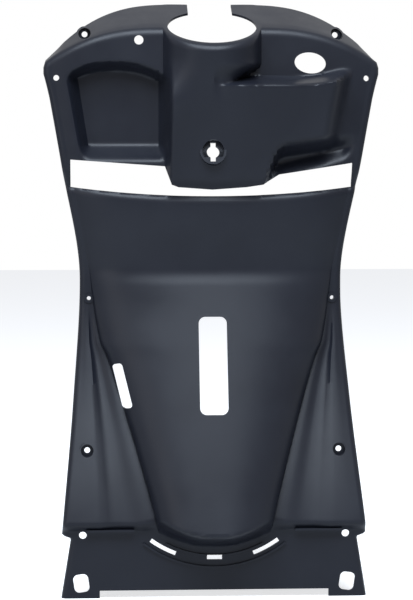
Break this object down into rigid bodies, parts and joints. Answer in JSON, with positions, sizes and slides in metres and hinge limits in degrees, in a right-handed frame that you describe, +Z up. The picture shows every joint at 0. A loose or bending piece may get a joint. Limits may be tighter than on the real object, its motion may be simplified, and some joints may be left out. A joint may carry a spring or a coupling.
{
  "type": "scooter front inner panel",
  "caption": "Moulded leg shield inner panel for a scooter, with column notch, lock, pocket, slot, tunnel, side wings and lower flange.",
  "frame": {"origin": "midway between the two lower screw holes, on the rider's side face of the lower flange", "axes": "+X to the right as the rider faces the panel, +Y away from the rider towards the scooter's nose, +Z up"},
  "size_m": [0.405, 0.186, 0.7129],
  "materials": {
    "black_plastic": "satin, finely grained, moulded in black"
  },
  "bodies": {
    "root": {"front_inner_panel": "black_plastic"}
  },
  "joints": []
}
